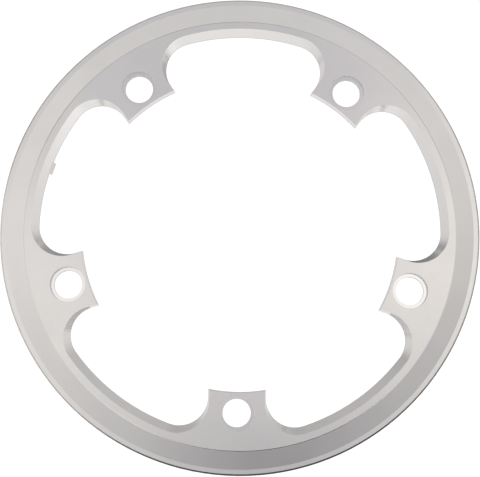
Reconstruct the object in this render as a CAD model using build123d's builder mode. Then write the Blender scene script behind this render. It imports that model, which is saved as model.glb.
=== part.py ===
from build123d import *
import os

# Bicycle chain guard: one ring cut from aluminium plate, with five tabs that bolt to the crank's spider.
# Millimetres. The origin is on the ring's axis at the back face, +Z is the outer face, -Y is the first tab.

# Bolt pattern and holes
bolt_count = 5
bolt_circle_diameter = 130.0
bolt_hole_diameter = 10.1
counterbore_diameter = 12.8
counterbore_depth = 1.8

# Plate and rim, from the outside inwards
plate_thickness = 3.2
rim_diameter = 174.4
rim_edge_break = 0.65
rim_land_width = 2.2
rim_land_drop = 1.05
rim_slope_width = 6.4
step_width = 0.3
step_drop = 0.3
face_width = 2.35

# Windows between the tabs: the bevel and the straight wall under it
bevel_run = 2.7
window_wall = 0.8
back_corner_radius = 10.3
front_corner_radius = 11.3
corner_share = 0.7  # a corner takes at most this share of its tab's side

# Tabs
tab_width = 20.0
tab_reach = 7.5
tab_draft = 0.4  # how far a side or a tip leans out from the front to the back

# Pip on the back edge of one window, which shows where the crank arm goes
pip_width = 4.4
pip_reach = 1.1
pip_edge = 0.35
pip_sink = 0.4  # how far the root of its wedge lies under the bevel
pip_window = 2  # counted clockwise from the first tab

# Radii worked out from the sizes above
rim_radius = rim_diameter / 2
land_radius = rim_radius - rim_land_width
slope_radius = land_radius - rim_slope_width
face_radius = slope_radius - step_width
window_front_radius = face_radius - face_width
window_back_radius = window_front_radius - bevel_run
tip_radius = bolt_circle_diameter / 2 - tab_reach
land_height = plate_thickness - rim_land_drop
tab_pitch = 360 / bolt_count


def spoke_plane(height):
    """A level plane whose x axis points along the first tab."""
    return Plane(origin=(0, 0, height), x_dir=(0, -1, 0), z_dir=(0, 0, 1))


def opening(height, window_radius, width, tip, corner_radius):
    """The outline of the middle and the windows: a disc less five tabs, with rounded corners at the ring."""
    side_length = (window_radius**2 - width**2 / 4) ** 0.5 - (tip**2 - width**2 / 4) ** 0.5
    with BuildSketch(spoke_plane(height)) as outline:
        Circle(window_radius)
        with PolarLocations(0, bolt_count):
            with Locations((tip / 2, 0)):
                Rectangle(window_radius, width, align=(Align.MIN, Align.CENTER), mode=Mode.SUBTRACT)
        Circle(tip)
        ring_corners = outline.vertices().sort_by_distance((0, 0, height))[-2 * bolt_count :]
        fillet(ring_corners, min(corner_radius, corner_share * side_length))
    return outline.sketch


with BuildPart() as guard_ring:
    # The blank: a turned disc with a small step down to a sloping rim and a narrow outer land
    with BuildSketch(Plane.XZ):
        with BuildLine():
            Polyline(
                (0, 0),
                (rim_radius - rim_edge_break, 0),
                (rim_radius, rim_edge_break),
                (rim_radius, land_height - rim_edge_break),
                (rim_radius - rim_edge_break, land_height),
                (land_radius, land_height),
                (slope_radius, plate_thickness - step_drop),
                (face_radius, plate_thickness),
                (0, plate_thickness),
                close=True,
            )
        make_face()
    revolve(axis=Axis.Z)

    # The windows: a straight wall at the back, and the bevel from it up to the front outline. The bevel is
    # wide on the ring's arcs, and gets narrow and steep round the corners and along the tabs.
    back_width = tab_width + 2 * tab_draft
    back_outline = opening(window_wall, window_back_radius, back_width, tip_radius, back_corner_radius)
    front_tip = tip_radius + tab_draft
    front_outline = opening(plate_thickness, window_front_radius, tab_width, front_tip, front_corner_radius)
    loft([back_outline, front_outline], ruled=True, mode=Mode.SUBTRACT)
    extrude(back_outline, amount=-window_wall, mode=Mode.SUBTRACT)

    # Bolt holes, counterbored on the outer face for the bolt heads
    with Locations(spoke_plane(plate_thickness)):
        with PolarLocations(bolt_circle_diameter / 2, bolt_count):
            CounterBoreHole(bolt_hole_diameter / 2, counterbore_diameter / 2, counterbore_depth)

    # The pip: a wedge that carries the bevel on past the window's back edge
    pip_direction = Vector(0, -1, 0).rotate(Axis.Z, -(pip_window - 0.5) * tab_pitch)
    pip_plane = Plane(origin=(0, 0, 0), x_dir=pip_direction, z_dir=pip_direction.cross(Vector(0, 0, 1)))
    pip_root_radius = window_back_radius + bevel_run / 2
    pip_root_height = (window_wall + plate_thickness) / 2 - pip_sink
    with BuildSketch(pip_plane):
        with BuildLine():
            Polyline(
                (pip_root_radius, 0),
                (window_back_radius - pip_reach, 0),
                (window_back_radius - pip_reach, pip_edge),
                (pip_root_radius, pip_root_height),
                close=True,
            )
        make_face()
    extrude(amount=pip_width / 2, both=True)

guard_ring.part.label = "guard_ring"
os.makedirs("parts", exist_ok=True)
export_step(guard_ring.part, "parts/guard_ring.step")
print("guard_ring volume", round(guard_ring.part.volume), "box", guard_ring.part.bounding_box())
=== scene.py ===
# %% [markdown]
# # A bicycle chain guard
# A chain guard is a flat ring that bolts to the outside of a bicycle's crank and keeps clothing off the
# chain. This one is a single piece of aluminium plate, with a turned rim, five bevelled windows and five tabs
# with counterbored bolt holes. All of that is in the solid, which is loaded below and stays where it is. So
# this lesson is about the rest: the camera, the finish of the metal, and the light that makes it look like
# metal.

# %% Load the solid
import math

import bpy
from mathutils import Matrix, Vector


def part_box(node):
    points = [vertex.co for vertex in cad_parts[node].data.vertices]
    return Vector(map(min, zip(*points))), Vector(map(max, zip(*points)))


MM = 0.001

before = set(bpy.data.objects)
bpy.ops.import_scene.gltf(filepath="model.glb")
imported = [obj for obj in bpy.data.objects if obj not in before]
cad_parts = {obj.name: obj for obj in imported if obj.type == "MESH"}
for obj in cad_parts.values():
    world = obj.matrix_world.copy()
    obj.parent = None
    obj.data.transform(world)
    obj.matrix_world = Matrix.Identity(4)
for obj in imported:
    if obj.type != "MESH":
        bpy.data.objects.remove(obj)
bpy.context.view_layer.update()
guard_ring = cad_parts["guard_ring"]
low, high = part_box("guard_ring")
print("guard ring", [round(side / MM, 1) for side in high - low], "mm")

# %% [markdown]
# ## The camera
# The photograph looks down on the guard from a little in front, from less than half a metre. So close, the
# near side looks a shade larger than the far side, and a strip of some inner walls shows. The camera could be
# turned by three angles, but directions are easier to follow: it looks at an aim point along "back", and
# "right" and "up" are the two sides of its picture, rolled by a small angle because the guard wasn't quite
# square to it. Its sensor and lens are given in millimetres, as on a real camera.

# %% Camera
aim = Vector((0, -2.3, 3.2)) * MM
camera_distance = 453 * MM
camera_elevation = math.radians(83.1)
camera_turn = math.radians(-1.7)
camera_roll = math.radians(-2.8)

back = Vector((
    math.cos(camera_elevation) * math.sin(camera_turn),
    -math.cos(camera_elevation) * math.cos(camera_turn),
    math.sin(camera_elevation),
))
level_right = Vector((0, 0, 1)).cross(back).normalized()
level_up = back.cross(level_right)
up = level_up * math.cos(camera_roll) + level_right * math.sin(camera_roll)
right = up.cross(back)

camera_data = bpy.data.cameras.new("camera")
camera_data.sensor_width = 36
camera_data.lens = 93.75
camera_data.clip_start = 10 * MM
camera = bpy.data.objects.new("camera", camera_data)
bpy.context.scene.collection.objects.link(camera)
facing = Matrix((right, up, back)).transposed().to_4x4()
camera.matrix_world = Matrix.Translation(aim + back * camera_distance) @ facing
bpy.context.scene.camera = camera
print("camera at", [round(c / MM) for c in camera.matrix_world.translation], "mm")

# %% [markdown]
# ## Two helpers
# Colours are written as the hex values that a paint program shows. Blender's shaders want linear light, so
# one function turns a hex value into it. The other adds a node to a tree: it sets the node's own choices, and
# fills each input with a value, or links it when the value is another node's output.

# %% Helpers


def linear(hex_colour):
    """A hex colour such as "C0C0C0" as linear red, green, blue and alpha."""
    parts = [int(hex_colour[i : i + 2], 16) / 255 for i in (0, 2, 4)]
    return [c / 12.92 if c <= 0.04045 else ((c + 0.055) / 1.055) ** 2.4 for c in parts] + [1.0]


def add_node(tree, kind, inputs, **choices):
    """A new node. Inputs are named or numbered, and an input given as an output is linked."""
    node = tree.nodes.new(kind)
    for name, choice in choices.items():
        setattr(node, name, choice)
    for name, value in inputs.items():
        if isinstance(value, bpy.types.NodeSocket):
            tree.links.new(value, node.inputs[name])
        else:
            node.inputs[name].default_value = value
    return node


print("the hex grey 808080 is", round(linear("808080")[0], 3), "in linear light")

# %% [markdown]
# ## The metal
# The guard is aluminium plate, milled and turned, then blasted with fine beads and given a clear anodised
# skin. Blasting leaves a satin surface that mirrors its surroundings as a soft blur, and the skin keeps it
# silver. A flat grey would look like plastic: what makes it metal is that it shows the light around it and
# has almost no colour of its own. The material starts with where each point is, and the grain that the beads
# left. The real grain is about 0.06 mm, too fine for this picture, so it is drawn 0.25 mm wide and shallow.

# %% Blasted grain
aluminium = bpy.data.materials.new("satin_anodised_aluminium")
aluminium.use_nodes = True
metal = aluminium.node_tree
metal.nodes.clear()

grain_size = 0.25 * MM
grain_height = 0.004 * MM
place = add_node(metal, "ShaderNodeTexCoord", {}).outputs["Object"]
grain = add_node(metal, "ShaderNodeTexNoise", {"Vector": place, "Scale": 1 / grain_size, "Detail": 2.0})
print("grain", round(grain_size / MM, 2), "mm wide,", round(grain_height / MM, 4), "mm high")

# %% [markdown]
# ## Soft, worn edges
# No machined edge is perfectly sharp: blasting and handling round it by about a tenth of a millimetre, and
# there the skin is rubbed brighter. The edge could be rounded in the mesh, but the solid has to stay as it
# is. So the Bevel node gives the direction that such a rounded edge would face. Where that differs from the
# surface's own direction there is an edge, and a patchy noise keeps the rubbed metal from following every
# edge evenly.

# %% Edges
edge_radius = 0.1 * MM
rub_size = 3 * MM
flat_agreement = 0.99
edge_agreement = 0.93
round_edge = add_node(metal, "ShaderNodeBevel", {"Radius": edge_radius}, samples=6)
surface = add_node(metal, "ShaderNodeNewGeometry", {})
agreement = add_node(
    metal,
    "ShaderNodeVectorMath",
    {0: round_edge.outputs["Normal"], 1: surface.outputs["Normal"]},
    operation="DOT_PRODUCT",
)
edge = add_node(
    metal,
    "ShaderNodeMapRange",
    {"Value": agreement.outputs["Value"], "From Min": flat_agreement, "From Max": edge_agreement},
)
rub = add_node(metal, "ShaderNodeTexNoise", {"Vector": place, "Scale": 1 / rub_size, "Detail": 3.0})
rubbed = add_node(
    metal,
    "ShaderNodeMath",
    {0: edge.outputs["Result"], 1: rub.outputs["Fac"]},
    operation="MULTIPLY",
)
relief = add_node(
    metal,
    "ShaderNodeBump",
    {
        "Strength": 1.0,
        "Distance": grain_height,
        "Height": grain.outputs["Fac"],
        "Normal": round_edge.outputs["Normal"],
    },
)
print("edges rounded by", round(edge_radius / MM, 2), "mm")

# %% [markdown]
# ## Bright bolt seats and dull cut walls
# The ring round each bolt hole, where the bolt's head sits, was cut after blasting, so it is smoother than
# the rest and mirrors the light more sharply. The upright walls were cut too, but by the side of the drill
# and the cutter, which leaves fine marks, so they are rougher and duller. Each could be an object of its own,
# but its direction and height are enough to find it: only a seat looks straight up from below the rim's land,
# and only a cut wall looks neither up nor down.

# %% Seats and walls
seat_top = 1.8 * MM
least_level = 0.9
most_upright = 0.1
height = add_node(metal, "ShaderNodeSeparateXYZ", {"Vector": place}).outputs["Z"]
upward = add_node(metal, "ShaderNodeSeparateXYZ", {"Vector": surface.outputs["Normal"]}).outputs["Z"]
is_low = add_node(metal, "ShaderNodeMath", {0: height, 1: seat_top}, operation="LESS_THAN")
is_level = add_node(metal, "ShaderNodeMath", {0: upward, 1: least_level}, operation="GREATER_THAN")
seat = add_node(
    metal,
    "ShaderNodeMath",
    {0: is_low.outputs["Value"], 1: is_level.outputs["Value"]},
    operation="MULTIPLY",
)
bright = add_node(
    metal,
    "ShaderNodeMath",
    {0: seat.outputs["Value"], 1: rubbed.outputs["Value"]},
    operation="MAXIMUM",
)
upright = add_node(metal, "ShaderNodeMath", {0: upward, 1: 0.0, 2: most_upright}, operation="COMPARE")
print("bolt seats are level and under", round(seat_top / MM, 1), "mm")

# %% [markdown]
# ## Tone and gloss
# An anodised skin is never quite even: it varies over a few centimetres where the current and the bath did,
# with finer flecks inside, and hands leave faint smudges about a centimetre wide. All of it is kept small,
# because a new part looks clean. An image could give the patches, but noise needs no file and fits any size.
# The colour is silver with a trace of warmth. Satin metal has a roughness of 0.2 to 0.3, and about 0.2 fits
# this one, where the lamps still show as soft patches.

# %% Skin and smudges
skin_patch = 30 * MM
smudge_size = 9 * MM
dark_skin = linear("E8E5E3")
light_skin = linear("F8F5F3")
least_satin = 0.18
most_satin = 0.22
skin = add_node(
    metal,
    "ShaderNodeTexNoise",
    {"Vector": place, "Scale": 1 / skin_patch, "Detail": 6.0, "Roughness": 0.75},
)
skin_colour = add_node(
    metal,
    "ShaderNodeMix",
    {"Factor": skin.outputs["Fac"], "A": dark_skin, "B": light_skin},
    data_type="RGBA",
)
smudge = add_node(metal, "ShaderNodeTexNoise", {"Vector": place, "Scale": 1 / smudge_size, "Detail": 4.0})
satin = add_node(
    metal,
    "ShaderNodeMapRange",
    {"Value": smudge.outputs["Fac"], "To Min": least_satin, "To Max": most_satin},
)
print("skin patches", round(skin_patch / MM), "mm and smudges", round(smudge_size / MM), "mm wide")

# %% [markdown]
# ## The finished metal
# The bright places are laid over the skin and the cut walls over both, once for the colour and once for the
# roughness: 0.1 where a cutter or rubbing left a shine, and 0.8 on the marked walls. Three materials could do
# it, but the solid has one slot, and a mask can also fade, as it does on the rubbed edges. The shader is a
# plain metal, with its IOR left as it is.

# %% Anodised aluminium
bright_metal = linear("F9F7F5")
bright_roughness = 0.1
cut_metal = linear("E8E8E9")
cut_roughness = 0.8
bright_colour = add_node(
    metal,
    "ShaderNodeMix",
    {"Factor": bright.outputs["Value"], "A": skin_colour.outputs["Result"], "B": bright_metal},
    data_type="RGBA",
)
bright_gloss = add_node(
    metal,
    "ShaderNodeMix",
    {"Factor": bright.outputs["Value"], "A": satin.outputs["Result"], "B": bright_roughness},
    data_type="FLOAT",
)
colour = add_node(
    metal,
    "ShaderNodeMix",
    {"Factor": upright.outputs["Value"], "A": bright_colour.outputs["Result"], "B": cut_metal},
    data_type="RGBA",
)
roughness = add_node(
    metal,
    "ShaderNodeMix",
    {"Factor": upright.outputs["Value"], "A": bright_gloss.outputs["Result"], "B": cut_roughness},
    data_type="FLOAT",
)
shader = add_node(
    metal,
    "ShaderNodeBsdfPrincipled",
    {
        "Base Color": colour.outputs["Result"],
        "Metallic": 1.0,
        "Roughness": roughness.outputs["Result"],
        "Normal": relief.outputs["Normal"],
    },
)
add_node(metal, "ShaderNodeOutputMaterial", {"Surface": shader.outputs["BSDF"]})
guard_ring.material_slots[0].material = aluminium
print("material", aluminium.name, "with", len(metal.nodes), "nodes")

# %% [markdown]
# ## The light table
# The guard lies on pure white with no shadow, as on a sheet of white acrylic with lamps under it. Such a
# sheet is cast with a milky filler that spreads the light, so the eye sees one even white. A white floor
# under strong lamps would still show a shadow, so this one only glows. The metal isn't shown the floor: what
# its steep walls mirror comes from the sheets of painted shade and the tent below, where it can be shaded.

# %% Light table
floor_half = 3.0
floor_gap = 0.02 * MM
floor_glow = 1.1
floor_top = low.z - floor_gap
floor_corners = [
    (-floor_half, -floor_half, floor_top),
    (floor_half, -floor_half, floor_top),
    (floor_half, floor_half, floor_top),
    (-floor_half, floor_half, floor_top),
]
floor_mesh = bpy.data.meshes.new("light_table")
floor_mesh.from_pydata(floor_corners, [], [(0, 1, 2, 3)])
floor = bpy.data.objects.new("light_table", floor_mesh)
bpy.context.scene.collection.objects.link(floor)
white_acrylic = bpy.data.materials.new("white_acrylic_lit_from_below")
white_acrylic.use_nodes = True
acrylic = white_acrylic.node_tree
acrylic.nodes.clear()
glow = add_node(acrylic, "ShaderNodeEmission", {"Color": linear("FFFFFF"), "Strength": floor_glow})
add_node(acrylic, "ShaderNodeOutputMaterial", {"Surface": glow.outputs["Emission"]})
floor_mesh.materials.append(white_acrylic)
floor.visible_glossy = False
print("table", 2 * floor_half, "m wide")

# %% [markdown]
# ## Cards, and sheets of painted shade
# Bright metal on white needs dark lines to show its form. A photographer makes them with strips of card
# placed close by, just out of the picture, which the metal mirrors. The grey sheets on the table are painted
# shade instead: they stand in for the ring's own shade there. Card is pulp pressed with no gloss, so it is
# matt and shows no lamp of its own. A box could stand for a strip, but bends would be lost, so each is a band
# of quads between pairs of points. Here only the metal sees them, so they can be as close as it needs.

# %% Strips
pulp_roughness = 0.9


def stage_strip(name, hex_colour, points):
    """A band of matt card, or a grey sheet of painted shade, between pairs of points, which only the metal
    sees.
    """
    faces = [(i, i + 1, i + 3, i + 2) for i in range(0, len(points) - 2, 2)]
    mesh = bpy.data.meshes.new(name)
    mesh.from_pydata(points, [], faces)
    strip = bpy.data.objects.new(name, mesh)
    bpy.context.scene.collection.objects.link(strip)
    matt = bpy.data.materials.new("matt_" + name)
    matt.use_nodes = True
    pulp = matt.node_tree.nodes["Principled BSDF"]
    pulp.inputs["Base Color"].default_value = linear(hex_colour)
    pulp.inputs["Roughness"].default_value = pulp_roughness
    mesh.materials.append(matt)
    strip.visible_camera = False
    print(name, "with", len(faces), "faces")


print("card and paper have a roughness of", pulp_roughness)

# %% [markdown]
# ## Two cards by the rim
# A grey card stands close to the near side of the rim and a pale one behind, and the rim's edge mirrors them
# as a thin dark line. Each is a low skirt with a peak in the middle, so the line fades out on both sides, and
# most bevels across the ring look over it. They go on a little below the table, because the metal looks
# through the table.

# %% Cards
card_radius = 92 * MM
card_depth = 4 * MM
card_steps = 40
peak_sharpness = 7


def stand_card(name, hex_colour, middle, reach, peak, skirt):
    """A curved card round the rim: a peak at the middle angle on a low skirt, and its ends a reach away."""
    points = []
    for step in range(card_steps + 1):
        share = 2 * step / card_steps - 1
        angle = math.radians(middle + reach * share)
        top = card_depth + peak * (1 - abs(share)) ** peak_sharpness + skirt * (1 - share**2)
        foot = Vector((card_radius * math.cos(angle), card_radius * math.sin(angle), floor_top - card_depth))
        points.append(foot)
        points.append(foot + Vector((0, 0, top)))
    stage_strip(name, hex_colour, points)


stand_card("grey_card", "525252", middle=-80, reach=125, peak=7.5 * MM, skirt=1.4 * MM)
stand_card("pale_card", "B8B8B8", middle=108, reach=70, peak=3 * MM, skirt=2 * MM)

# %% [markdown]
# ## Painted shade beside the tabs
# The corners of the windows turn from bevel to almost upright, so they mirror the table right beside them,
# and it is in the ring's own shade there. Beside the left and right tabs, and on one side of the top left
# one, that gives the dark crescents which show that the corners are hollow. The table here glows evenly and
# can't be shaded, so that shade is painted instead: grey sheets lie in those places. They keep clear of the
# tabs' tips and the windows' arcs, which mirror a bright table.

# %% Sheets of painted shade
shade_sheet_outer = 71 * MM
shade_sheet_lift = 0.01 * MM
shade_sheet_steps = 12


def lay_painted_shade(name, hex_colour, start, end, inner):
    """A grey sheet of painted shade on the table, bent round the ring's axis from the start to the end angle.
    """
    points = []
    for step in range(shade_sheet_steps + 1):
        angle = math.radians(start + (end - start) * step / shade_sheet_steps)
        outward = Vector((math.cos(angle), math.sin(angle), 0))
        for radius in (inner, shade_sheet_outer):
            points.append(outward * radius + Vector((0, 0, floor_top + shade_sheet_lift)))
    stage_strip(name, hex_colour, points)


# Painted shade: grey sheets standing in for the ring's own shade on the table beside the tabs.
lay_painted_shade("upper_left_painted_shade", "BCBCBC", start=160, end=194, inner=58 * MM)
lay_painted_shade("upper_right_painted_shade", "A6A6A6", start=-14, end=20, inner=58 * MM)
lay_painted_shade("lower_left_painted_shade", "E0E0E0", start=204, end=228, inner=61 * MM)
lay_painted_shade("lower_right_painted_shade", "ECECEC", start=-48, end=-24, inner=62 * MM)
lay_painted_shade("top_left_painted_shade", "DCDCDC", start=106, end=120, inner=58 * MM)

# %% [markdown]
# ## The light tent
# Metal shows its surroundings, so lighting it means choosing what stands around it. The photograph's tones
# look like those of a white tent with a slot for the lens, a lamp on each side of the slot and darker walls
# behind. Area lamps could do this, but their edges show in the metal. Here the tent is the world: one even
# level, and soft round panels added to it or taken from it. Each has a direction (azimuth from +X towards +Y,
# and elevation) and a spread, all in degrees, a strength, and a tint. The lamps are a little warmer than the
# cloth, so where their light is kept out, what is left is a little bluer.

# %% Tent plan
tent_level = 0.785
white = Vector(linear("FFFFFF")[:3])
warm = Vector(linear("FFF8E9")[:3])
lemon = Vector(linear("FFFFE9")[:3])
cream = Vector(linear("FFFFFB")[:3])
panels = {
    "behind the camera": (-78, 69, 11, -0.53, cream),
    "left of the camera": (-150, 70, 9, -0.11, white),
    "slot for the lens": (-60, 87, 4, -0.25, lemon),
    "left end of the slot": (111, 76, 5, -0.27, lemon),
    "right end of the slot": (70, 76, 4, -0.34, lemon),
    "right lamp": (37, 78, 6, 0.42, warm),
    "left lamp": (162, 80, 6, 0.25, warm),
    "right shoulder": (-10, 64, 10, -0.24, white),
    "left shoulder": (155, 62, 12, 0.08, warm),
    "front wall": (-80, 8, 38, 0.11, white),
    "front right wall": (-30, 14, 14, 0.18, white),
    "back wall": (95, 6, 38, -0.31, white),
    "gap at the back left": (143, 2, 9, -0.36, white),
    "gap at the back right": (40, 3, 9, -0.17, white),
    "shade at the back": (95, -22, 16, -0.12, white),
    "shade at the back right": (28, -14, 13, -0.12, white),
    "shade at the right": (-25, -14, 12, -0.36, white),
    "shade at the left": (-145, -20, 12, -0.12, white),
    "lit table top": (-90, -75, 30, 0.12, white),
    "table behind": (90, -72, 14, -0.30, white),
    "table in front": (-58, -38, 10, -0.10, white),
    "table at the right": (22, -38, 12, -0.08, white),
}
print(len(panels), "soft panels in the tent")

# %% [markdown]
# ## Adding the panels up
# Each panel is a soft spot: the dot product of the looked-at direction with the panel's axis is 1 at its
# centre, and an exponential of it falls off smoothly, like light through cloth. An image of a studio would do
# the same, but nodes need no file. A chain of them adds all the panels to the tent's own level, and its last
# node keeps dark panels that overlap from going below black. The Standard view shows the tones as they are.

# %% Tent
world = bpy.data.worlds.new("light_tent")
world.use_nodes = True
tent = world.node_tree
tent.nodes.clear()
looked_at = add_node(tent, "ShaderNodeTexCoord", {}).outputs["Generated"]
light = Vector((tent_level, tent_level, tent_level))
for azimuth, elevation, spread, strength, tint in panels.values():
    around = math.radians(azimuth)
    above = math.radians(elevation)
    axis = (math.cos(above) * math.cos(around), math.cos(above) * math.sin(around), math.sin(above))
    tightness = 1 / math.radians(spread) ** 2
    nearness = add_node(tent, "ShaderNodeVectorMath", {0: looked_at, 1: axis}, operation="DOT_PRODUCT")
    falloff = add_node(
        tent,
        "ShaderNodeMath",
        {0: nearness.outputs["Value"], 1: tightness, 2: -tightness},
        operation="MULTIPLY_ADD",
    )
    spot = add_node(tent, "ShaderNodeMath", {0: falloff.outputs["Value"]}, operation="EXPONENT")
    light = add_node(
        tent,
        "ShaderNodeVectorMath",
        {0: spot.outputs["Value"], 1: tint * strength, 2: light},
        operation="MULTIPLY_ADD",
    ).outputs["Vector"]
not_below_dark = add_node(tent, "ShaderNodeVectorMath", {0: light, 1: (0, 0, 0)}, operation="MAXIMUM")
cloth = add_node(
    tent,
    "ShaderNodeBackground",
    {"Color": not_below_dark.outputs["Vector"], "Strength": 1.0},
)
add_node(tent, "ShaderNodeOutputWorld", {"Surface": cloth.outputs["Background"]})
bpy.context.scene.world = world
bpy.context.scene.view_settings.view_transform = "Standard"
print("tent with", len(tent.nodes), "nodes")
